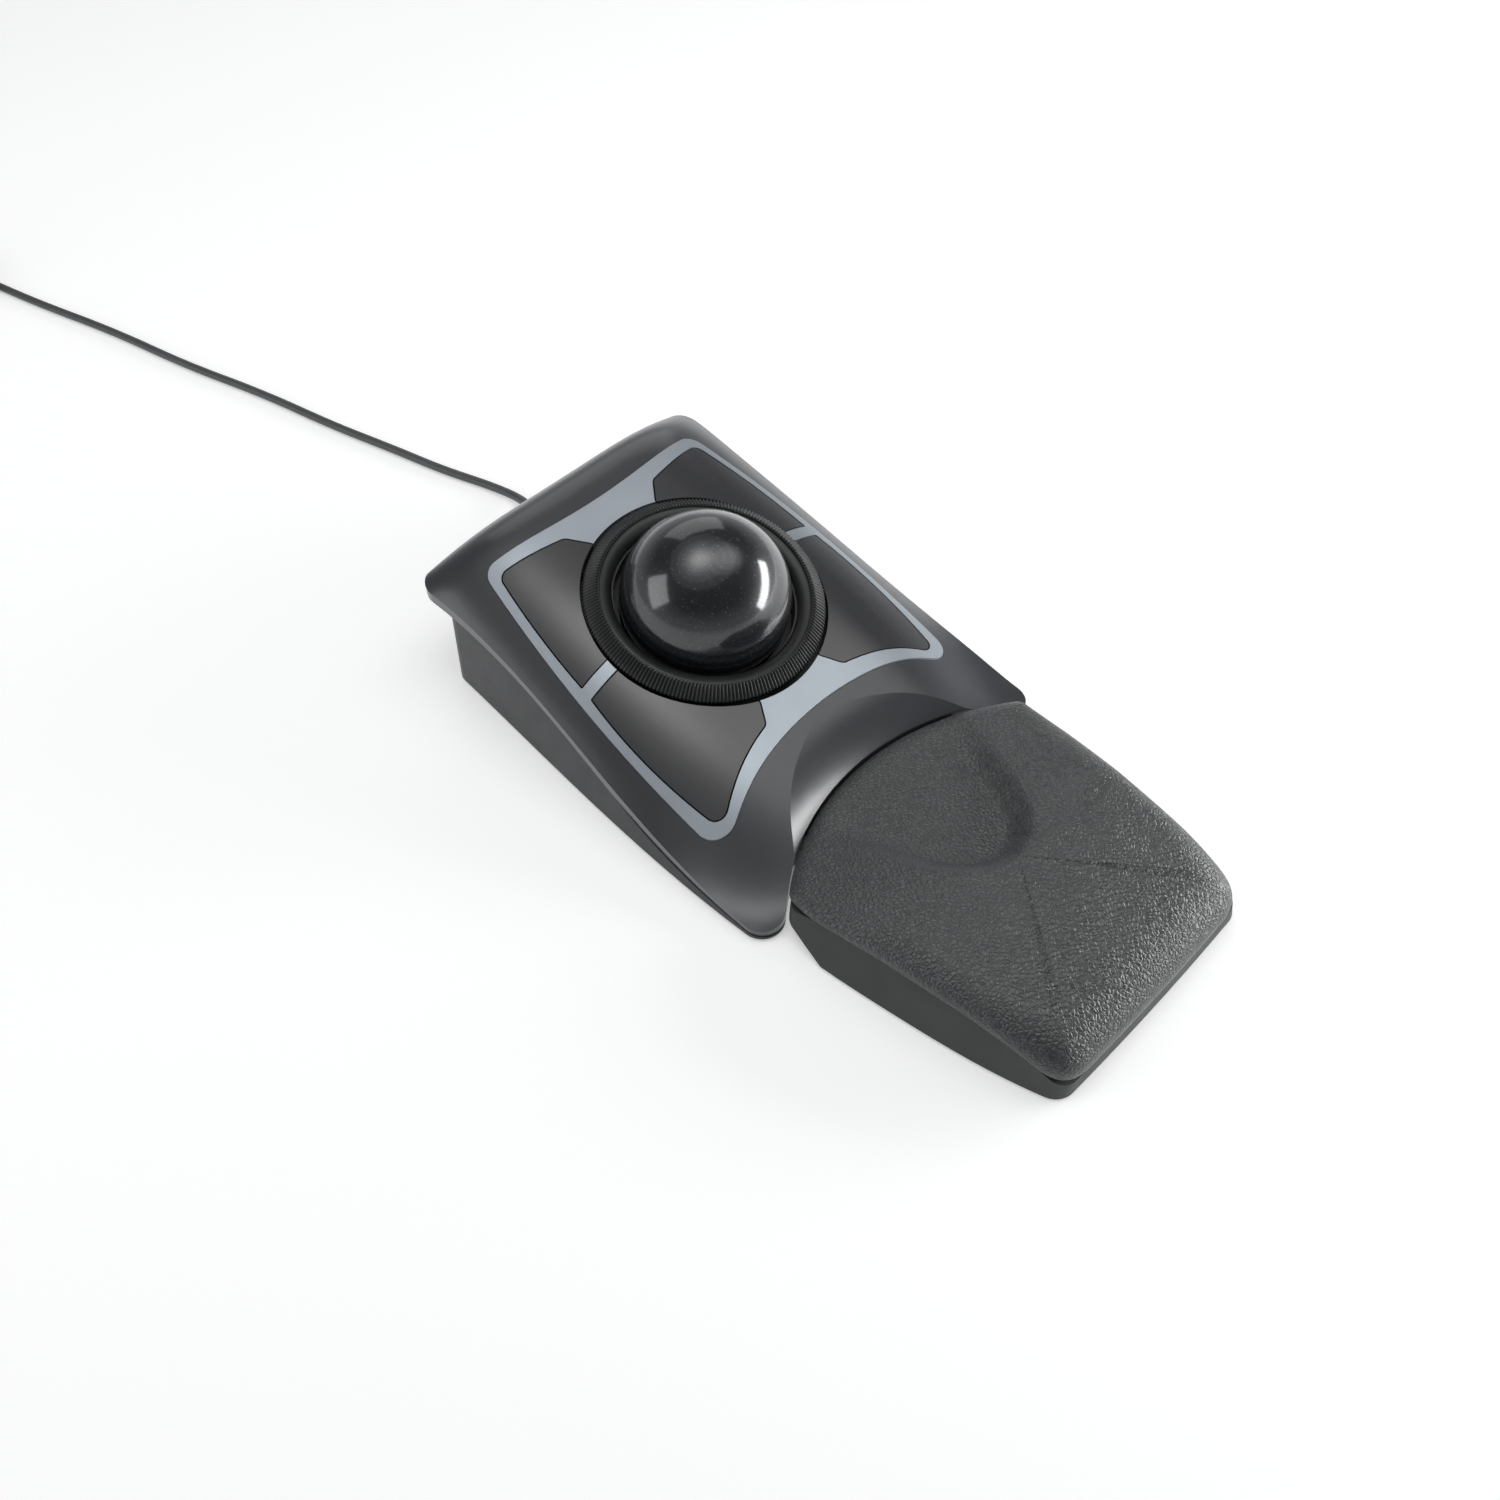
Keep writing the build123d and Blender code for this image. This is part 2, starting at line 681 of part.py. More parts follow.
# Strain relief in the back wall, and the end of the cord inside the case
gland_inner_y = base_back_y - wall - 1.6
gland_tip_y = base_back_y + 12.0
with BuildPart() as strain_relief:
    with BuildSketch(Plane(origin=(0, gland_inner_y, cord_z), x_dir=(1, 0, 0), z_dir=(0, 0, 1))):
        with BuildLine():
            outer = base_back_y - gland_inner_y + 0.1
            tip = gland_tip_y - gland_inner_y
            Polyline((0, 0), (4.4, 0), (4.4, 1.5), (2.9, 1.5), (2.9, outer), (4.2, outer), (4.2, outer + 1.2),
                     (3.4, outer + 1.6), (cord_r + 0.6, tip - 0.6), (cord_r + 0.2, tip), (0, tip), (0, 0))
        make_face()
    revolve(axis=Axis((0, 0, cord_z), (0, 1, 0)))
write(strain_relief, "strain_relief")
with BuildPart() as cord_lead:
    with BuildSketch(section_plane(gland_inner_y)):
        with Locations((0, cord_z)):
            Circle(cord_r)
    extrude(amount=gland_inner_y - header_back)
write(cord_lead, "cord_lead")


# Screws
def screws(places, plane, head_r, head_h, shank_r, shank_length):
    """Pan-head screws: plane is where the heads meet the work, the shanks run along its normal."""
    with BuildPart() as group:
        with BuildSketch(plane):
            with Locations(*places):
                Circle(head_r)
        extrude(amount=-head_h)
        with BuildSketch(plane):
            with Locations(*places):
                Circle(shank_r)
        extrude(amount=shank_length)
    return group


with BuildPart() as case_screws:
    rear_screws = screws(case_screws_at[:2], Plane.XY.offset(rear_head_z), 2.6, 1.8, 1.1, 13)
    front_screws = screws(case_screws_at[2:], Plane.XY.offset(front_head_z), 2.6, 1.2, 1.1, 6)
    add(rear_screws.part)
    add(front_screws.part)
write(case_screws, "case_screws")
write(screws(chassis_bosses, deck.offset(chassis_w - chassis_t), 2.4, 1.5, 1.1, 6), "chassis_screws")
carrier_places = [(37.9 * cos(radians(90 + 120 * i)), 37.9 * sin(radians(90 + 120 * i))) for i in range(3)]
carrier_down = Plane(origin=deck.from_local_coords((0, 0, carrier_flange_w + 1.5)), x_dir=(-1, 0, 0),
                     z_dir=-deck.z_dir)
write(screws([(-x, y) for x, y in carrier_places], carrier_down, 1.5, 0.9, 0.9, 5.5), "carrier_screws")
board_down = Plane(origin=(0, 0, board_z + 1.6), x_dir=(-1, 0, 0), z_dir=(0, 0, -1))
write(screws([(-x, y) for x, y in board_screws_at], board_down, 2.0, 1.2, 0.9, 4), "board_screws")


# Wrist rest
rest_back_r = front_arc_r - rest_gap
fold_z = 13.5              # highest point of the line where the pad meets its base
pad_overhang = 1.0
floor_halves = [(58.3, None), (57.2, -53), (54.4, -75), (49.8, -102), (43.0, rest_front_y + 0.8)]
fold_halves = [(52.6, None), (51.4, -53), (49.5, -75), (45.8, -102), (41.6, rest_front_y + 1.4)]


def rest_outline(plane, halves, inset):
    """Plan of the rest: convex back that follows the mouse, sides drawing in to a rounded front.

    halves holds (half width, y) from the back corner, which lies on the back arc, to the front one."""
    back_r = rest_back_r - inset
    half = halves[0][0] - inset
    side = [(half, front_arc_y + sqrt(back_r**2 - half**2))]
    side += [(across - inset, y) for across, y in halves[1:-1]]
    side.append((halves[-1][0] - inset, halves[-1][1] + inset))
    front_y = side[-1][1] - 0.8
    with BuildSketch(plane) as plan:
        with BuildLine():
            ThreePointArc((-half, side[0][1]), (0, front_arc_y + back_r), side[0])
            Spline(*side)
            ThreePointArc(side[-1], (0, front_y), (-side[-1][0], side[-1][1]))
            Spline(*[(-x, y) for x, y in side])
        make_face()
        fillet(plan.vertices().sort_by(Axis.Y)[:2], 7 - inset)
        fillet(plan.vertices().sort_by(Axis.Y)[-2:], 3)
    return plan.sketch


def rest_column(inset, overhang):
    """The flared foot of the rest and the straight column above it, before it gets its top."""
    waist = rest_outline(Plane.XY.offset(fold_z), fold_halves, inset + overhang)
    with BuildPart() as column:
        add(rest_outline(Plane.XY.offset(case_z), floor_halves, inset))
        add(waist)
        loft()
        add(waist)
        extrude(amount=20)
    return column.part


def under_crown(crown, lift):
    """The space under a side profile of (y, z) points, raised by lift."""
    with BuildPart() as space:
        with BuildSketch(Plane.YZ):
            with BuildLine():
                top = Spline(*[(y, z + lift) for y, z in crown])
                Polyline(top @ 1, (crown[-1][0], -5), (crown[0][0], -5), top @ 0)
            make_face()
        extrude(amount=80, both=True)
    return space.part


base_crown = [(-135, 4.0), (-124, 6.6), (-113, 10.6), (-98, 12.8), (-70, 13.4), (-40, 11.0), (-28, 8.6),
              (-8, 7.2)]
pad_crown = [(-135, 15.5), (-118, 19.2), (-90, 21.8), (-62, 21.0), (-40, 16.0), (-26, 12.8), (-8, 10.5)]
rest_feet_at = [(-34, rest_front_y + 18), (34, rest_front_y + 18)]
with BuildPart() as tray_space:
    add(rest_column(wall, pad_overhang))
    add(under_crown(base_crown, 2.0), mode=Mode.INTERSECT)
    with BuildSketch():
        Rectangle(200, 400)
    extrude(amount=floor_z, mode=Mode.SUBTRACT)
with BuildPart() as wrist_rest_base:
    add(rest_column(0, pad_overhang))
    add(under_crown(base_crown, 0), mode=Mode.INTERSECT)
    add(tray_space.part, mode=Mode.SUBTRACT)
    with BuildSketch(Plane.XY.offset(case_z)):
        with Locations((-hook_x, -20.5), (hook_x, -20.5)):
            Rectangle(hook_width + 4, 10)
    extrude(amount=hook_z[1] - case_z)
    add(rest_column(0, pad_overhang), mode=Mode.INTERSECT)
    for side in (-1, 1):
        with BuildSketch(Plane.YZ.offset(side * 36)):
            Polygon((-53, 0), (-15, 0), (-15, 16), (-31, 8.2), align=None)
        extrude(amount=side * 30, mode=Mode.SUBTRACT)
    with BuildSketch(Plane.XY.offset(hook_z[0])):
        with Locations((-hook_x, -22), (hook_x, -22)):
            Rectangle(hook_width, 15, align=(Align.CENTER, Align.MIN))
    extrude(amount=hook_z[1] - hook_z[0])
    with BuildSketch():
        with Locations(*rest_feet_at):
            Circle(foot_r)
    extrude(amount=foot_z, mode=Mode.SUBTRACT)
write(wrist_rest_base, "wrist_rest_base")
with BuildPart() as wrist_rest_pad:
    add(rest_column(0, 0))
    add(under_crown(pad_crown, 0), mode=Mode.INTERSECT)
    add(under_crown(base_crown, 0), mode=Mode.SUBTRACT)
write(wrist_rest_pad, "wrist_rest_pad")
with BuildPart() as wrist_rest_feet:
    with BuildSketch():
        with Locations(*rest_feet_at):
            Circle(foot_r)
    extrude(amount=foot_z)
write(wrist_rest_feet, "wrist_rest_feet")


# Cord: out of the strain relief, down to the table and away behind the mouse to a coil
coil_r = 21.5
coil_centre = (-87.9, 444.6)
coil_half = 4.8
coil_height = 4 * 2 * cord_r
cord_route = [(0, gland_tip_y, cord_z), (1.6, 138.5, 11.4), (6.0, 149.5, 7.4), (9.8, 162, 2.9),
              (7.2, 177, cord_r), (0.4, 196, cord_r), (-5.4, 219, cord_r), (-13.4, 247, cord_r),
              (-21, 282, cord_r), (-32.5, 320, cord_r), (-41, 360, cord_r), (-53, 400, cord_r),
              (-60.5, 432, cord_r), (-63.9, 450.2, cord_r)]
tail_route = [(-88, 469.3, 8.0), (-99, 469.2, 7.3), (-111, 466.6, 4.4), (-124, 462.0, 4.4)]


def bend_radii(route):
    """The largest arc that each corner's two runs allow."""
    radii = []
    for before, corner, after in zip(route, route[1:], route[2:]):
        arriving = Vector(*corner) - Vector(*before)
        leaving = Vector(*after) - Vector(*corner)
        turn = radians(arriving.get_angle(leaving))
        radii.append(0.45 * min(arriving.length, leaving.length) / tan(turn / 2))
    return radii


def tube(route, radius):
    radii = bend_radii(route)
    print("bend radii", [round(value, 1) for value in radii])
    with BuildPart() as cable:
        with BuildLine():
            path = FilletPolyline(*[Vector(*point) for point in route], radius=radii)
        with BuildSketch(Plane(origin=path @ 0, z_dir=path % 0)):
            Circle(radius)
        sweep()
    print("tube", round(cable.part.volume), "expected", round(pi * radius**2 * path.length))
    return cable


write(tube(cord_route, cord_r), "cord")
write(tube(tail_route, cord_r), "cord_tail")
with BuildPart() as cord_coil:
    with BuildSketch():
        with Locations(coil_centre):
            Circle(coil_r + coil_half)
            Circle(coil_r - coil_half, mode=Mode.SUBTRACT)
    extrude(amount=coil_height)
write(cord_coil, "cord_coil")

# Plug at the end of the tail: overmould, metal shell and contact tongue
plug_start = Vector(*tail_route[-1])
plug_way = (plug_start - Vector(*tail_route[-2])).normalized()


def plug_plane(distance):
    return Plane(origin=plug_start + plug_way * distance, x_dir=plug_way.cross(Vector(0, 0, 1)), z_dir=plug_way)


with BuildPart() as usb_plug:
    with BuildSketch(plug_plane(0)):
        Circle(2.2)
    with BuildSketch(plug_plane(7)):
        Circle(3.0)
    loft()
    with BuildSketch(plug_plane(7)):
        RectangleRounded(15.4, 8.0, 1.5)
    extrude(amount=20)
write(usb_plug, "usb_plug")
with BuildPart() as usb_shell:
    with BuildSketch(plug_plane(27)):
        RectangleRounded(12, 4.5, 0.4)
        RectangleRounded(11.4, 3.9, 0.2, mode=Mode.SUBTRACT)
    extrude(amount=11.8)
write(usb_shell, "usb_shell")
with BuildPart() as usb_tongue:
    with BuildSketch(plug_plane(27)):
        with Locations((0, 0.85)):
            Rectangle(11.2, 2.0)
    extrude(amount=11.0)
write(usb_tongue, "usb_tongue")
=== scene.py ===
"""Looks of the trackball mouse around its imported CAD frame. Metres, +Z up, +Y towards the cord."""
import json
from math import atan2, cos, hypot, pi, radians, sin, sqrt

import bpy
from mathutils import Matrix, Vector


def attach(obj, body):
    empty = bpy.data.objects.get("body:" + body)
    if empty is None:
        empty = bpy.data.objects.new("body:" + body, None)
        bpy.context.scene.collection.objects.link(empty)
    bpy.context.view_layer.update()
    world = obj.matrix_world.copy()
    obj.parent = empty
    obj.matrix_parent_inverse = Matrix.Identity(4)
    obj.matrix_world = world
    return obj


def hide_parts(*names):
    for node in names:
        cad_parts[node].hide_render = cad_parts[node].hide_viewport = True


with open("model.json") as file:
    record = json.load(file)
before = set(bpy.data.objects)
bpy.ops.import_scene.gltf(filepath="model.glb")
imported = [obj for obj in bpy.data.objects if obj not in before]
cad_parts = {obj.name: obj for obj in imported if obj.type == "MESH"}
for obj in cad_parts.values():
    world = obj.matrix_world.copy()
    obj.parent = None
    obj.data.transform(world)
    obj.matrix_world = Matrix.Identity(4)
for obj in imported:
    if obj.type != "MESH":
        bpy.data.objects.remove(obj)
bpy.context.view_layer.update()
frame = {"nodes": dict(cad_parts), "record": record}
nodes = frame["nodes"]
scene = bpy.context.scene
scene.view_settings.view_transform = "Standard"

MM = 0.001
DECK_TILT = radians(12.9)
DECK_ORIGIN = Vector((0, 0.054, 0.036))
DECK_UP = Vector((0, -sin(DECK_TILT), cos(DECK_TILT)))
DECK_ALONG = Vector((0, cos(DECK_TILT), sin(DECK_TILT)))


def deck_point(x, v, w):
    """A point in millimetres across, along and above the deck plane, in metres in the shared frame."""
    return DECK_ORIGIN + (Vector((x, 0, 0)) + DECK_ALONG * v + DECK_UP * w) * MM


# Camera
CAMERA_AT = Vector((-0.2282, -0.1887, 0.3809))
CAMERA_AZIMUTH = radians(-45.68)
CAMERA_ELEVATION = radians(51.83)
camera_data = bpy.data.cameras.new("camera")
camera_data.sensor_width = 36
camera_data.lens = 36
camera_data.clip_start = 0.01
camera_data.clip_end = 20
camera = bpy.data.objects.new("camera", camera_data)
scene.collection.objects.link(camera)
camera.location = CAMERA_AT
camera.rotation_euler = (pi / 2 - CAMERA_ELEVATION, 0, CAMERA_AZIMUTH)
scene.camera = camera


# Cord: one spline from the strain relief along the table, round the coil and out to the plug
CORD_R = 1.6
CORD_ROUTE = [(0, 126.5, 12), (1.6, 138.5, 11.4), (6.0, 149.5, 7.4), (9.8, 162, 2.9), (7.2, 177, 1.6),
              (0.4, 196, 1.6), (-5.4, 219, 1.6), (-13.4, 247, 1.6), (-21, 282, 1.6), (-32.5, 320, 1.6),
              (-41, 360, 1.6), (-53, 400, 1.6), (-60.5, 432, 1.6), (-63.9, 450.2, 1.6)]
TAIL_ROUTE = [(-88, 469.3, 8.0), (-99, 469.2, 7.3), (-111, 466.6, 4.4), (-124, 462.0, 4.4)]
COIL_CENTRE = (-87.9, 444.6)
COIL_START = 13.1            # degrees, where the cord meets the coil
STEPS = 18                   # control points to a turn
CHANGE = 0.16                # share of a turn spent on moving to the next place in the coil
EARLY = 0.14                 # how much sooner the cord turns a corner of the coil's section


def coil_points():
    """Turns beside and on each other: in along the bottom, up the inside, back down to the outside."""
    ring = {1: 18.3, 2: 21.5, 3: 24.7}
    cells = [(3, 0), (2, 0), (1, 0), (1, 1), (1, 2), (1, 3), (2, 3), (2, 2), (2, 1), (3, 1), (3, 2)]
    corners = {2, 5, 6, 8}
    swell = 2 / (1 + cos(pi / STEPS))
    points = []
    start = 0.0
    spans = []
    for index, cell in enumerate(cells):
        length = 1.0 - (EARLY if index in corners else 0.0)
        spans.append((start, start + length, cell))
        start += length
    last_turn = 10.0 + (90 - COIL_START) / 360
    step = 1
    while step / STEPS < last_turn - 0.5 / STEPS:
        turn = step / STEPS
        for index, (low, high, cell) in enumerate(spans):
            if low <= turn < high:
                here, after = cell, spans[min(index + 1, len(spans) - 1)][2]
                share = max(0.0, (turn - high + CHANGE) / CHANGE)
        share = share * share * (3 - 2 * share)
        radius = (ring[here[0]] * (1 - share) + ring[after[0]] * share) * swell
        height = CORD_R * (1 + 2 * (here[1] * (1 - share) + after[1] * share))
        angle = radians(COIL_START) + 2 * pi * turn
        points.append((COIL_CENTRE[0] + radius * cos(angle), COIL_CENTRE[1] + radius * sin(angle),
                       height))
        step += 1
    return points


def spline_curve(name, points, radius):
    """A round cable along the NURBS spline that has these control points, in millimetres."""
    curve = bpy.data.curves.new(name, "CURVE")
    curve.dimensions = "3D"
    spline = curve.splines.new("NURBS")
    spline.points.add(len(points) - 1)
    for point, place in zip(spline.points, points):
        point.co = (place[0] * MM, place[1] * MM, place[2] * MM, 1)
        point.radius = radius * MM
    spline.order_u = 3
    spline.use_endpoint_u = True
    spline.resolution_u = 6
    curve.bevel_depth = 1.0          # times each point's own radius
    curve.bevel_resolution = 4
    curve.use_fill_caps = True
    piece = bpy.data.objects.new(name, curve)
    scene.collection.objects.link(piece)
    return piece


cable = spline_curve("cable", CORD_ROUTE + coil_points() + TAIL_ROUTE, CORD_R)
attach(cable, "housing")
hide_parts("cord", "cord_coil", "cord_tail")


# Materials
def new_material(name):
    material = bpy.data.materials.new(name)
    material.use_nodes = True
    tree = material.node_tree
    shader = tree.nodes["Principled BSDF"]
    return material, tree, shader


def shader_input(material, name):
    return material.node_tree.nodes["Principled BSDF"].inputs[name]


def link(tree, source, target):
    tree.links.new(source, target)


def noise(tree, scale, detail=3.0, roughness=0.5):
    node = tree.nodes.new("ShaderNodeTexNoise")
    node.inputs["Scale"].default_value = scale
    node.inputs["Detail"].default_value = detail
    node.inputs["Roughness"].default_value = roughness
    link(tree, object_coordinates(tree), node.inputs["Vector"])
    return node.outputs["Fac"]


def object_coordinates(tree):
    for node in tree.nodes:
        if node.type == "TEX_COORD":
            return node.outputs["Object"]
    return tree.nodes.new("ShaderNodeTexCoord").outputs["Object"]


def ramp(tree, factor, low, high, start=0.3, end=0.7):
    """Two colours or greys mixed by a factor between start and end."""
    node = tree.nodes.new("ShaderNodeValToRGB")
    for element, place, value in zip(node.color_ramp.elements, (start, end), (low, high)):
        element.position = place
        element.color = (*value, 1) if hasattr(value, "__len__") else (value, value, value, 1)
    link(tree, factor, node.inputs["Fac"])
    return node.outputs["Color"]


def math_node(tree, operation, a, b):
    node = tree.nodes.new("ShaderNodeMath")
    node.operation = operation
    for socket, value in zip(node.inputs, (a, b)):
        if isinstance(value, (int, float)):
            socket.default_value = value
        else:
            link(tree, value, socket)
    return node.outputs["Value"]


def bump(tree, shader, height, depth):
    """Relief of the given depth in metres."""
    node = tree.nodes.new("ShaderNodeBump")
    node.inputs["Strength"].default_value = 1.0
    node.inputs["Distance"].default_value = depth
    link(tree, height, node.inputs["Height"])
    link(tree, node.outputs["Normal"], shader.inputs["Normal"])


def plastic(name, dark, light, rough, grain_scale, grain_depth, coat=0.0, coat_rough=0.1,
            metallic=0.0, blotch=35.0):
    """Moulded or lacquered plastic: slight colour drift, uneven gloss and a fine mould grain."""
    material, tree, shader = new_material(name)
    link(tree, ramp(tree, noise(tree, blotch, 4), dark, light), shader.inputs["Base Color"])
    link(tree, ramp(tree, noise(tree, blotch * 3, 5, 0.65), rough[0], rough[1]), shader.inputs["Roughness"])
    shader.inputs["Metallic"].default_value = metallic
    shader.inputs["Coat Weight"].default_value = coat
    shader.inputs["Coat Roughness"].default_value = coat_rough
    bump(tree, shader, noise(tree, grain_scale, 2, 0.6), grain_depth)
    return material


def flecked(name, dark, light, rough, fleck_scale, fleck, fleck_share, coat, coat_rough):
    """Lacquer with fine pearl flecks under a clear coat."""
    material, tree, shader = new_material(name)
    cells = tree.nodes.new("ShaderNodeTexVoronoi")
    cells.inputs["Scale"].default_value = fleck_scale
    link(tree, object_coordinates(tree), cells.inputs["Vector"])
    shade = tree.nodes.new("ShaderNodeSeparateColor")
    link(tree, cells.outputs["Color"], shade.inputs["Color"])
    is_fleck = ramp(tree, shade.outputs["Red"], 0.0, 1.0, 1 - fleck_share, 1.0)
    ground = ramp(tree, noise(tree, 45, 3), dark, light)
    mix = tree.nodes.new("ShaderNodeMix")
    mix.data_type = "RGBA"
    link(tree, is_fleck, mix.inputs["Factor"])
    link(tree, ground, mix.inputs["A"])
    mix.inputs["B"].default_value = (*fleck, 1)
    link(tree, mix.outputs["Result"], shader.inputs["Base Color"])
    link(tree, ramp(tree, noise(tree, 120, 4), rough[0], rough[1]), shader.inputs["Roughness"])
    shader.inputs["Metallic"].default_value = 0.2
    shader.inputs["Coat Weight"].default_value = coat
    shader.inputs["Coat Roughness"].default_value = coat_rough
    return material


LID = plastic("lid_plastic", (0.038, 0.040, 0.044), (0.042, 0.044, 0.049),
              (0.29, 0.32), 5200, 0.000004, 0.4, 0.2)
BASE = plastic("base_plastic", (0.028, 0.029, 0.031), (0.033, 0.034, 0.037),
               (0.42, 0.52), 3800, 0.000010)
BEZEL = plastic("bezel_lacquer", (0.38, 0.42, 0.46), (0.41, 0.45, 0.49),
                (0.40, 0.46), 6000, 0.000003, 0.2, 0.15, 0.7)
BUTTON = plastic("button_plastic", (0.034, 0.034, 0.036), (0.037, 0.037, 0.039),
                 (0.23, 0.25), 5200, 0.000002, 0.5, 0.2)
RING = plastic("ring_plastic", (0.011, 0.012, 0.012), (0.017, 0.018, 0.018),
               (0.36, 0.46), 4200, 0.000006)
BALL = flecked("ball_resin", (0.008, 0.009, 0.011), (0.012, 0.013, 0.016), (0.34, 0.40), 2600,
               (0.07, 0.075, 0.09), 0.05, 1.0, 0.12)
shader_input(BALL, "Coat IOR").default_value = 1.65
shader_input(BALL, "Specular IOR Level").default_value = 0.25
REST_BASE = plastic("rest_base_plastic", (0.032, 0.034, 0.034), (0.042, 0.044, 0.044),
                    (0.45, 0.55), 3500, 0.000012)
FOOT = plastic("foot_rubber", (0.020, 0.020, 0.020), (0.032, 0.032, 0.032),
               (0.7, 0.85), 2500, 0.00002)
CORD = plastic("cord_jacket", (0.060, 0.061, 0.063), (0.078, 0.079, 0.081),
               (0.38, 0.48), 3000, 0.000006, blotch=60)
SLEEVE = plastic("sleeve_rubber", (0.022, 0.022, 0.023), (0.032, 0.032, 0.033),
                 (0.5, 0.6), 2600, 0.00001)
PLUG = plastic("plug_plastic", (0.028, 0.028, 0.030), (0.038, 0.038, 0.040),
               (0.42, 0.5), 3000, 0.00001)
NICKEL = plastic("nickel", (0.55, 0.54, 0.52), (0.66, 0.65, 0.63),
                 (0.18, 0.28), 5000, 0.000002, metallic=1.0)
WHITE = plastic("connector_plastic", (0.62, 0.61, 0.57), (0.72, 0.71, 0.67),
                (0.4, 0.5), 3000, 0.000005)
INNER = plastic("inner_plastic", (0.055, 0.056, 0.058), (0.075, 0.076, 0.078),
                (0.45, 0.55), 3000, 0.00001)
STEEL = plastic("steel", (0.42, 0.42, 0.43), (0.58, 0.58, 0.59),
                (0.25, 0.38), 4000, 0.000004, metallic=1.0)
BOARD = plastic("solder_mask", (0.008, 0.075, 0.030), (0.014, 0.105, 0.045),
                (0.25, 0.35), 1500, 0.00002, 0.4, 0.15)
CHIP = plastic("epoxy", (0.014, 0.014, 0.015), (0.022, 0.022, 0.023), (0.45, 0.6), 3500, 0.00001)
SWITCH = plastic("switch_plastic", (0.024, 0.024, 0.026), (0.036, 0.036, 0.038),
                 (0.35, 0.45), 3000, 0.000008)
PLUNGER = plastic("plunger_plastic", (0.56, 0.52, 0.42), (0.64, 0.60, 0.50),
                  (0.35, 0.45), 3000, 0.000004)
LENS = plastic("lens_plastic", (0.80, 0.84, 0.86), (0.86, 0.90, 0.92), (0.03, 0.07), 2000, 0.000002)
shader_input(LENS, "Transmission Weight").default_value = 0.9

MATERIAL_OF = {
    "lid": LID, "base": BASE, "bezel": BEZEL, "button": BUTTON, "ring": RING, "ball": BALL,
    "rest_base": REST_BASE, "foot": FOOT, "cord": CORD, "cord_sleeve": SLEEVE, "plug": PLUG,
    "plug_metal": NICKEL, "connector": WHITE, "inner_plastic": INNER, "steel": STEEL,
    "board": BOARD, "chip": CHIP, "switch": SWITCH, "plunger": PLUNGER, "lens": LENS,
    "pad": REST_BASE}
for part in frame["record"]["subparts"]:
    node = nodes[part["node"]]
    for place in node.material_slots:
        place.material = MATERIAL_OF[part["material_slot"]]
cable.data.materials.append(CORD)


# Leatherette: pebbles with creases between them, finer pores on top, and painted shade that darkens the
# creases
PEBBLES = 760                # to a metre
PEBBLE_DRIFT = 0.0016        # metres by which noise bends the pebbles' edges
PORE_SHARE = 0.35            # height of the pores beside that of the pebbles
GRAIN_DEPTH = 0.00013


def leather(name):
    material, tree, shader = new_material(name)
    warp = tree.nodes.new("ShaderNodeTexNoise")
    warp.inputs["Scale"].default_value = 260
    warp.inputs["Detail"].default_value = 2
    link(tree, object_coordinates(tree), warp.inputs["Vector"])
    add = tree.nodes.new("ShaderNodeVectorMath")
    add.operation = "MULTIPLY_ADD"
    link(tree, warp.outputs["Color"], add.inputs[0])
    add.inputs[1].default_value = (PEBBLE_DRIFT,) * 3
    link(tree, object_coordinates(tree), add.inputs[2])
    pebbles = tree.nodes.new("ShaderNodeTexVoronoi")
    pebbles.feature = "DISTANCE_TO_EDGE"
    pebbles.inputs["Scale"].default_value = PEBBLES
    link(tree, add.outputs["Vector"], pebbles.inputs["Vector"])
    dome = ramp(tree, pebbles.outputs["Distance"], 0.0, 1.0, 0.0, 0.28)
    pores = ramp(tree, noise(tree, 900, 4, 0.6), 0.0, 1.0, 0.35, 0.75)
    height = math_node(tree, "ADD", dome, math_node(tree, "MULTIPLY", pores, PORE_SHARE))
    bump(tree, shader, height, GRAIN_DEPTH)
    # base colour: painted shade, dark in the creases between the pebbles and lighter on their tops, with
    # random tone drift from noise
    crease_shade_tint = ramp(tree, math_node(tree, "MULTIPLY", dome, noise(tree, 60, 3)),
                (0.030, 0.031, 0.032), (0.062, 0.064, 0.065), 0.0, 0.6)
    link(tree, crease_shade_tint, shader.inputs["Base Color"])
    link(tree, ramp(tree, noise(tree, 180, 4), 0.34, 0.44), shader.inputs["Roughness"])
    shader.inputs["Specular IOR Level"].default_value = 0.7
    shader.inputs["Sheen Weight"].default_value = 0.12
    shader.inputs["Sheen Roughness"].default_value = 0.4
    return material


LEATHER = leather("leatherette")


def mesh_piece(name, vertices, faces, material, smooth=True):
    mesh = bpy.data.meshes.new(name)
    mesh.from_pydata(vertices, [], faces)
    mesh.update()
    mesh.materials.append(material)
    if smooth:
        mesh.polygons.foreach_set("use_smooth", [True] * len(mesh.polygons))
    piece = bpy.data.objects.new(name, mesh)
    scene.collection.objects.link(piece)
    return piece


# Pad of the wrist rest: crowned, with a hollow that opens towards the mouse
REST_ARC_Y = -97.5
REST_ARC_R = 83.5
FOLD_Z = 13.5                # where the sides of the rest stop flaring
FLOOR_Z = 1.0
FOLD_SIDES = [(52.6, None), (51.4, -53), (49.5, -75), (45.8, -102), (41.6, -125.6)]
FLOOR_SIDES = [(58.3, None), (57.2, -53), (54.4, -75), (49.8, -102), (43.0, -126.2)]
CORNER_R = 7.0


def smooth_step(value, low, high):
    share = min(1.0, max(0.0, (value - low) / (high - low)))
    return share * share * (3 - 2 * share)


def interpolate(table, value):
    """Straight runs between the table's (place, height) rows."""
    for (a, fa), (b, fb) in zip(table, table[1:]):
        if value <= b or (b, fb) == table[-1]:
            share = min(1.0, max(0.0, (value - a) / (b - a)))
            return fa + (fb - fa) * share


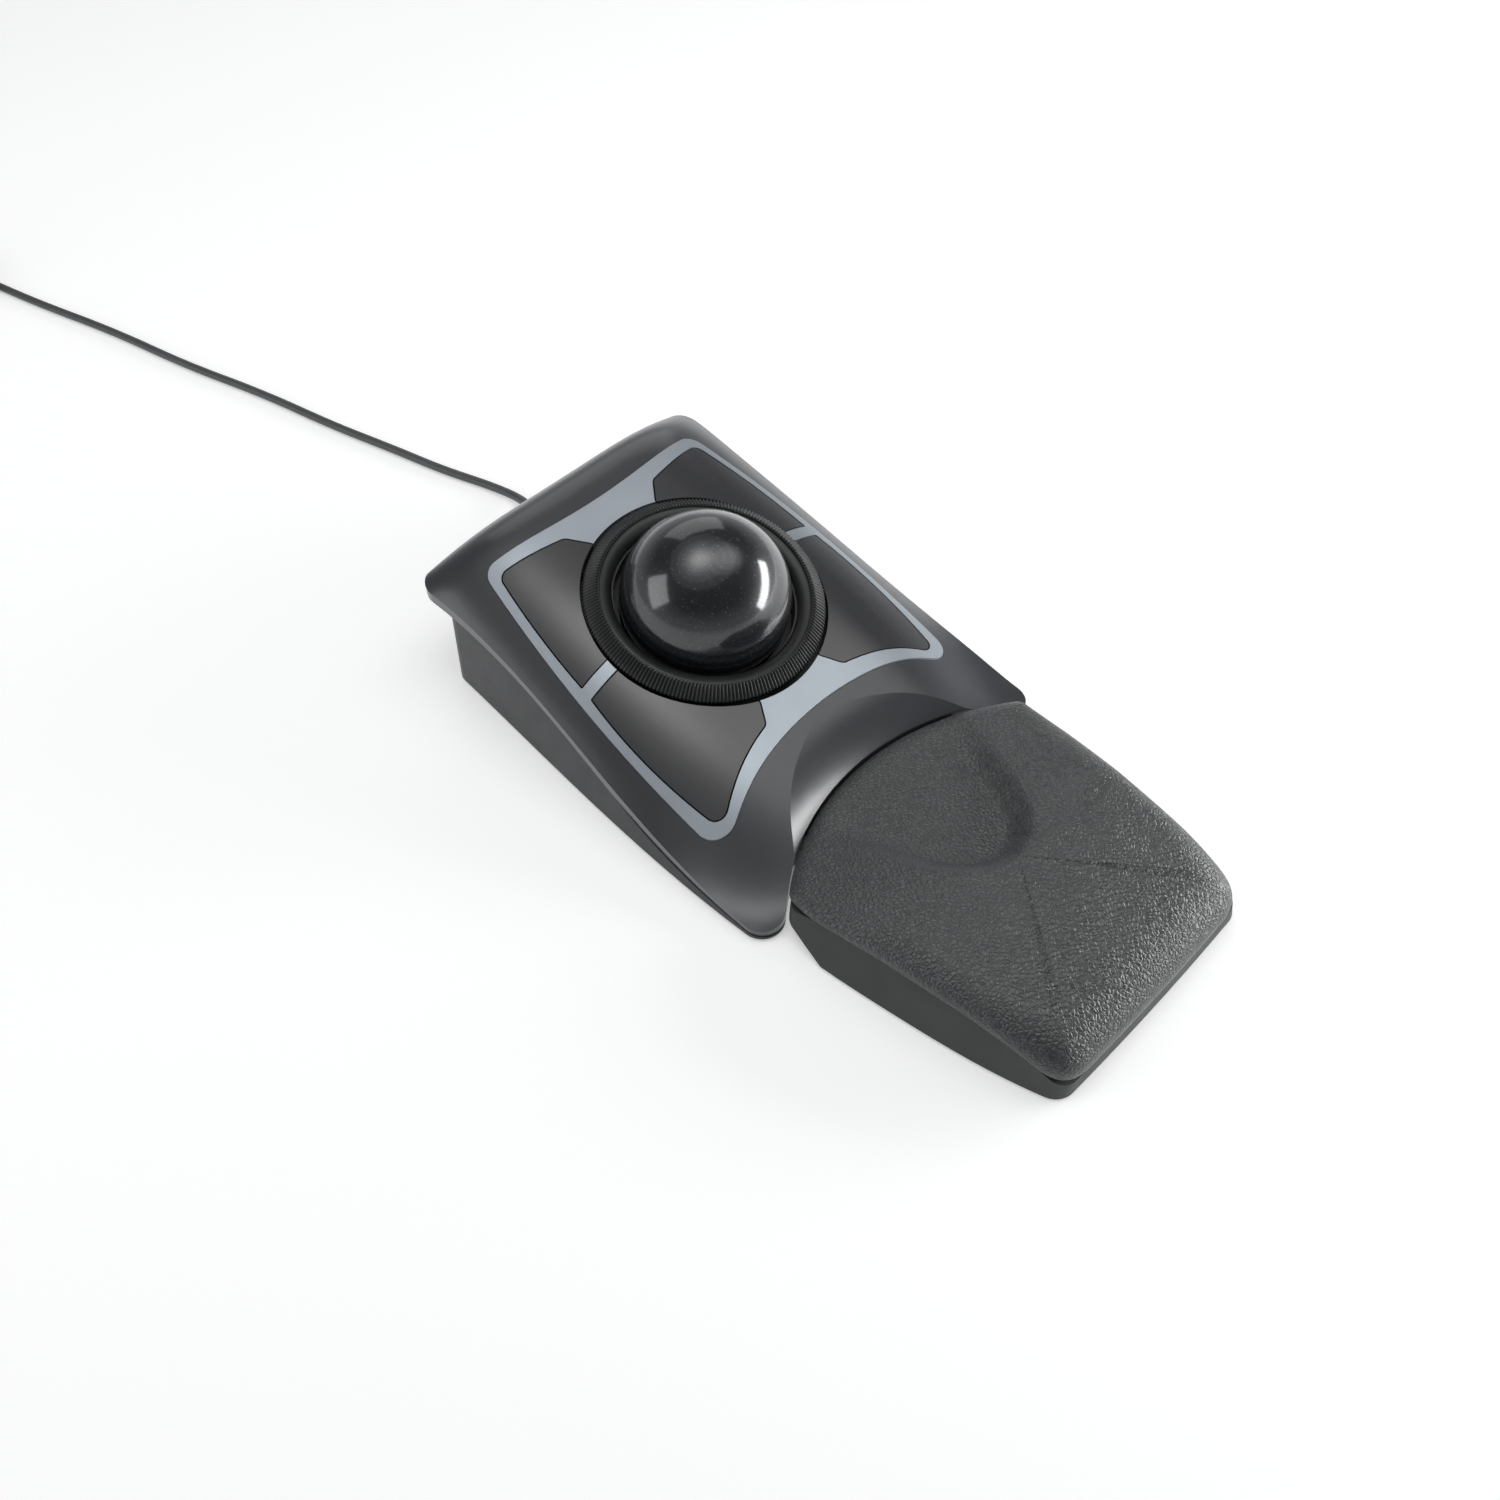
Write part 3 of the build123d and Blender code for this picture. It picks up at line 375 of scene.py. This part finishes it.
def smooth_interpolate(table, value, width=7.0):
    """The table's curve averaged over a window, so that it has no corners."""
    return sum(interpolate(table, value + width * k / 3) for k in range(-3, 4)) / 7


# heights along y: of the pad's top, of the hollow's floor and of the pad's underside
CREST = [(-127, 17.0), (-118, 19.0), (-104, 20.8), (-84, 21.9), (-68, 21.6), (-54, 20.0),
         (-42, 17.2), (-30, 14.4), (-14, 12.4)]
BASIN = [(-76, 15.0), (-62, 14.2), (-48, 13.2), (-34, 12.4), (-24, 12.1), (-14, 12.0)]
UNDER = [(-135, 4.0), (-124, 6.6), (-113, 10.6), (-98, 12.8), (-70, 13.4), (-40, 11.0),
         (-28, 8.6), (-8, 7.2)]

BASIN_EDGE = [(33, -27), (22.5, -48), (18.6, -57), (14.5, -64), (8.5, -68.8), (1, -70.5),
              (-6.5, -68.8), (-12.5, -64), (-17.0, -57), (-21.0, -46), (-28, -27), (-28, 10),
              (33, 10)]
BASIN_WALL = 4.6             # half of the width of the slope round the hollow
CROWN = 1.6                  # how far the top falls off towards the sides
PAD_MIDDLE = (0.0, -74.0)
OUTLINE_POINTS = 300
ROLL_STEPS = 16              # rings of points up the rounded shoulder
CAP_STEPS = 44               # rings of points from the shoulder to the middle
SIDE_RISE = 1.8              # from the underside to where the shoulder begins
# moved in and up: underside, tucked lip and side up to where the shoulder begins
LIP = ((9.0, 0.4), (2.6, 0.4), (1.3, 0.5), (0.4, 0.95), (0.0, SIDE_RISE))


def basin_share(x, y):
    """1 inside the hollow and 0 outside, with a soft slope along its U-shaped edge."""
    nearest = 1000.0
    is_inside = False
    for (ax, ay), (bx, by) in zip(BASIN_EDGE, BASIN_EDGE[1:] + BASIN_EDGE[:1]):
        dx, dy = bx - ax, by - ay
        share = min(1.0, max(0.0, ((x - ax) * dx + (y - ay) * dy) / (dx * dx + dy * dy)))
        nearest = min(nearest, hypot(x - ax - dx * share, y - ay - dy * share))
        if (ay > y) != (by > y) and x < ax + dx * (y - ay) / dy:
            is_inside = not is_inside
    return smooth_step(nearest if is_inside else -nearest, -BASIN_WALL, BASIN_WALL)


def pad_top(x, y):
    crest = smooth_interpolate(CREST, y) - CROWN * (x / 52) ** 2
    floor = smooth_interpolate(BASIN, y)
    return crest + (min(floor, crest) - crest) * basin_share(x, y)


def rest_outline(sides, count):
    """Evenly spaced points round the rest's plan, anticlockwise, in millimetres."""
    half = sides[0][0]
    back_y = REST_ARC_Y + sqrt(REST_ARC_R ** 2 - half ** 2)
    corner = atan2(back_y - REST_ARC_Y, half)
    arc = [corner + (pi - 2 * corner) * k / 40 for k in range(41)]
    points = [(REST_ARC_R * cos(angle), REST_ARC_Y + REST_ARC_R * sin(angle)) for angle in arc]
    front_half, front_y = sides[-1]
    side = sides[1:-1]
    last_x, last_y = side[-1]
    near = CORNER_R / hypot(front_half - last_x, front_y - last_y)
    before = (front_half + (last_x - front_half) * near, front_y + (last_y - front_y) * near)
    rounded = [before]
    for k in range(1, 6):
        t = k / 6
        first, second, third = (1 - t) ** 2, 2 * t * (1 - t), t * t
        rounded.append((first * before[0] + second * front_half + third * (front_half - CORNER_R),
                        first * before[1] + second * front_y + third * (front_y - 0.3)))
    half_way = side + rounded + [(front_half - CORNER_R, front_y - 0.3), (16, front_y - 0.7)]
    points += [(-x, y) for x, y in half_way] + [(0, front_y - 0.8)] + list(reversed(half_way))
    lengths = [0.0]
    closed = points + [points[0]]
    for a, b in zip(closed, closed[1:]):
        lengths.append(lengths[-1] + hypot(b[0] - a[0], b[1] - a[1]))
    even = []
    at = 0
    for k in range(count):
        target = lengths[-1] * k / count
        while lengths[at + 1] < target:
            at += 1
        share = (target - lengths[at]) / (lengths[at + 1] - lengths[at])
        even.append((closed[at][0] + (closed[at + 1][0] - closed[at][0]) * share,
                     closed[at][1] + (closed[at + 1][1] - closed[at][1]) * share))
    for _ in range(3):
        even = [((even[i - 1][0] + 2 * even[i][0] + even[(i + 1) % count][0]) / 4,
                 (even[i - 1][1] + 2 * even[i][1] + even[(i + 1) % count][1]) / 4) for i in range(count)]
    return even


def moved_in(points, distance_at):
    """The outline moved inwards by a distance that depends on y."""
    count = len(points)
    moved = []
    for i in range(count):
        before, after = points[i - 2], points[(i + 2) % count]
        dx, dy = after[0] - before[0], after[1] - before[1]
        distance = distance_at(points[i][1]) / hypot(dx, dy)
        moved.append((points[i][0] - dy * distance, points[i][1] + dx * distance))
    return moved


def shoulder(y):
    """How far in from the edge the pad reaches its full height."""
    return 9.0 + 4.5 * smooth_step(-y, 98, 122) - 4.0 * smooth_step(y, -50, -30)


def build_pad():
    count = OUTLINE_POINTS
    fold, foot = rest_outline(FOLD_SIDES, count), rest_outline(FLOOR_SIDES, count)
    vertices, faces, rings = [], [], []

    def add_ring(points):
        rings.append(list(range(len(vertices), len(vertices) + len(points))))
        vertices.extend(Vector(point) * MM for point in points)

    edge = []
    for (fold_x, fold_y), (foot_x, foot_y) in zip(fold, foot):
        share = min(1.0, (smooth_interpolate(UNDER, fold_y) - FLOOR_Z) / (FOLD_Z - FLOOR_Z))
        edge.append((foot_x + (fold_x - foot_x) * share, foot_y + (fold_y - foot_y) * share))
    for distance, lift in LIP:
        add_ring([(x, y, smooth_interpolate(UNDER, y) + lift)
                  for x, y in moved_in(edge, lambda y: distance)])
    for k in range(1, ROLL_STEPS + 1):
        angle = pi / 2 * k / ROLL_STEPS
        settled = []
        for x, y in moved_in(edge, lambda y: shoulder(y) * (1 - cos(angle))):
            bottom = smooth_interpolate(UNDER, y) + SIDE_RISE
            settled.append((x, y, bottom + (pad_top(x, y) - bottom) * sin(angle) ** 0.9))
        add_ring(settled)
    inner = moved_in(edge, shoulder)
    middle = PAD_MIDDLE
    for k in range(1, CAP_STEPS):
        share = 1 - k / CAP_STEPS
        ring_points = [(middle[0] + (x - middle[0]) * share, middle[1] + (y - middle[1]) * share)
                       for x, y in inner]
        add_ring([(x, y, pad_top(x, y)) for x, y in ring_points])
    for low, high in zip(rings, rings[1:]):
        for i in range(count):
            j = (i + 1) % count
            faces.append((low[i], low[j], high[j], high[i]))
    vertices.append(Vector((middle[0], middle[1], pad_top(*middle))) * MM)
    hub = len(vertices) - 1
    for i in range(count):
        faces.append((rings[-1][i], rings[-1][(i + 1) % count], hub))
    faces.append(tuple(reversed(rings[0])))
    return mesh_piece("pad", vertices, faces, LEATHER)


pad = build_pad()
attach(pad, "wrist_rest")
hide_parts("wrist_rest_pad")


# Knurled band round the scroll ring
TEETH = 200
TOOTH_PROFILE = (1.0, 1.0, 0.75, 0.0, 0.0, 0.75)
TOOTH_HEIGHT = 0.62
ROOT_SINK = 0.06             # how far the roots, and then the band's edges, lie under the ring
EDGE_SINK = 0.08


def build_knurl():
    # radius and height on the ring, and the way out of its surface
    section = [(38.6, -0.9, 1, 0), (38.6, -0.1, 1, 0.1), (38.25, 0.45, 0.75, 0.66),
               (36.6, 1.75, 0.636, 0.771), (35.2, 2.85, 0.5, 0.86), (34.5, 3.3, 0.0, 1.0),
               (34.2, 3.25, -0.4, 0.9)]
    inside = [(34.3, 2.7), (36.4, 1.1), (38.2, -0.5), (38.2, -0.9)]
    vertices, faces = [], []
    steps = len(TOOTH_PROFILE)
    total = TEETH * steps
    rows = len(section) + len(inside)
    for k in range(total):
        angle = 2 * pi * k / total
        wave = TOOTH_PROFILE[k % steps]
        for number, (radius, height, out, up) in enumerate(section):
            is_edge = number in (0, len(section) - 1)
            rise = -EDGE_SINK if is_edge else -ROOT_SINK + TOOTH_HEIGHT * wave
            r, w = radius + out * rise, height + up * rise
            vertices.append(deck_point(r * cos(angle), r * sin(angle), w))
        for radius, height in inside:
            vertices.append(deck_point(radius * cos(angle), radius * sin(angle), height))
    for k in range(total):
        here, after = k * rows, (k + 1) % total * rows
        for row in range(rows):
            down = (row + 1) % rows
            faces.append((here + row, after + row, after + down, here + down))
    return mesh_piece("knurl", vertices, faces, RING)


knurl = build_knurl()
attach(knurl, "scroll_ring")


# Floor and light
def area_light(name, place, target, width, height, radiance, along=(1, 0, 0), shape="ELLIPSE"):
    """A soft box that faces target, its width along the given direction, equally bright all over."""
    data = bpy.data.lights.new(name, "AREA")
    data.shape = shape
    data.size = width
    data.size_y = height
    surface = width * height * (pi / 4 if shape == "ELLIPSE" else 1)
    data.energy = radiance * pi * surface
    light = bpy.data.objects.new(name, data)
    scene.collection.objects.link(light)
    back = (Vector(place) - Vector(target)).normalized()
    side = (Vector(along) - back * back.dot(Vector(along))).normalized()
    turn = Matrix((side, back.cross(side), back)).transposed().to_4x4()
    light.matrix_world = Matrix.Translation(place) @ turn


FLOOR_HALF = 3.0
floor_material, floor_tree, floor_shader = new_material("floor")
floor_shader.inputs["Base Color"].default_value = (0.80, 0.80, 0.80, 1)
floor_shader.inputs["Roughness"].default_value = 0.9
floor_shader.inputs["Specular IOR Level"].default_value = 0.1
floor_shader.inputs["Emission Color"].default_value = (1, 1, 1, 1)
floor_shader.inputs["Emission Strength"].default_value = 0.40
floor_corners = [(-FLOOR_HALF, -FLOOR_HALF, 0), (FLOOR_HALF, -FLOOR_HALF, 0),
                 (FLOOR_HALF, FLOOR_HALF, 0), (-FLOOR_HALF, FLOOR_HALF, 0)]
floor = mesh_piece("floor", floor_corners, [(0, 1, 2, 3)], floor_material, False)

# A pale studio: bright towards the horizon, dim overhead
world = bpy.data.worlds.new("studio")
world.use_nodes = True
world_tree = world.node_tree
direction = world_tree.nodes.new("ShaderNodeTexCoord").outputs["Generated"]
split = world_tree.nodes.new("ShaderNodeSeparateXYZ")
link(world_tree, direction, split.inputs["Vector"])
glow = ramp(world_tree, split.outputs["Z"], (0.44, 0.455, 0.47), (0.10, 0.105, 0.11), 0.10, 0.42)
link(world_tree, glow, world_tree.nodes["Background"].inputs["Color"])
world_tree.nodes["Background"].inputs["Strength"].default_value = 1.0
scene.world = world

# each soft box is a stack of panels, the smaller ones a little lower, so that it fades outwards
OVERHEAD = ((1.6, 0.25), (1.1, 0.3), (0.8, 0.35), (0.6, 0.7), (0.42, 0.9), (0.26, 0.9))
KEY = ((1.0, 0.4), (0.7, 0.6), (0.4, 0.5))
for size, radiance in OVERHEAD:
    height = 0.94 + 0.02 * size
    area_light("overhead", (-0.02, 0.16, height), (-0.02, 0.16, 0), size, size * 0.9, radiance)
for size, radiance in KEY:
    height = 0.85 + 0.03 * size
    area_light("key", (0.46, -0.14, height), (0.46, -0.14, 0), size, size * 0.72, radiance)
area_light("window", (0.465, -0.355, 0.14), (0, 0.05, 0.035), 0.56, 0.14, 13,
           (0.33, 0.41, 0.20), "RECTANGLE")
area_light("left_back", (-0.80, 0.52, 0.42), (0, 0, 0.03), 0.6, 0.5, 2.4, shape="RECTANGLE")
area_light("right_back", (0.62, 0.95, 0.62), (0, 0.05, 0.03), 1.0, 0.6, 0.9, shape="RECTANGLE")
